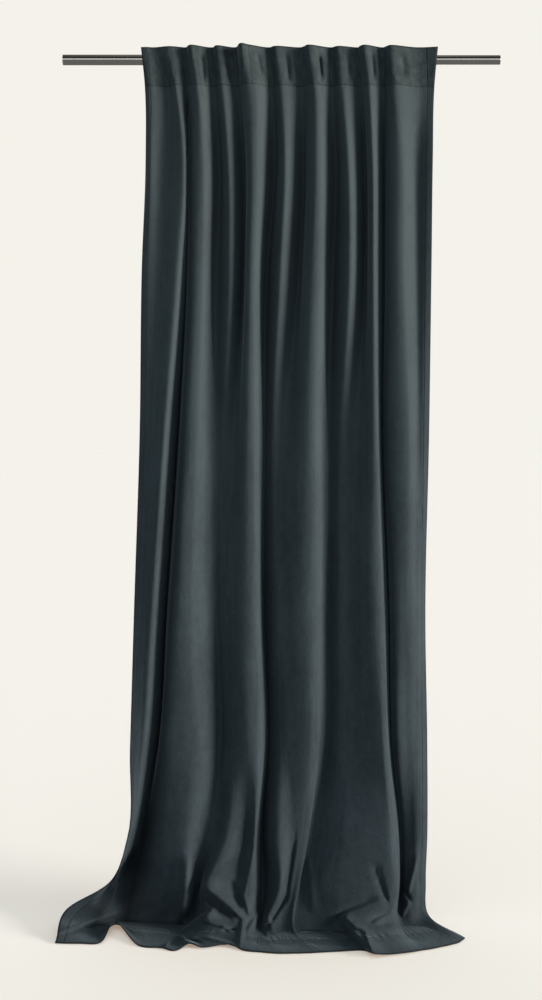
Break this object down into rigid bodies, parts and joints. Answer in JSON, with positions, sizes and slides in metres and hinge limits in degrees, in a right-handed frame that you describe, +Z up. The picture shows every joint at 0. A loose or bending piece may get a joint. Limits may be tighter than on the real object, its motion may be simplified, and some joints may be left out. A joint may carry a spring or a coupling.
{
  "type": "curtain on a curtain rod",
  "caption": "Long velvet curtain gathered on a telescopic metal rod by hidden back tabs, hanging in uneven folds with its hem spread over the floor in front.",
  "frame": {"origin": "middle of the rod's axis, where the rod's brackets hold it level; the floor lies 2.327 m below", "axes": "+X along the rod to the right as seen from the front, +Y from the front of the curtain towards the wall, +Z up"},
  "size_m": [1.1802, 0.331, 2.3567],
  "materials": {
    "velvet": "dark blue-grey cotton velvet with a short pile",
    "tab_cloth": "plain back of the same cloth",
    "rod_steel": "satin steel tube"
  },
  "bodies": {
    "root": {"curtain_panel": "velvet", "tab_01": "tab_cloth", "tab_02": "tab_cloth", "tab_03": "tab_cloth", "tab_04": "tab_cloth", "tab_05": "tab_cloth", "tab_06": "tab_cloth", "tab_07": "tab_cloth", "tab_08": "tab_cloth", "tab_09": "tab_cloth", "tab_10": "tab_cloth", "rod_outer_tube": "rod_steel", "rod_inner_tube": "rod_steel"}
  },
  "joints": []
}
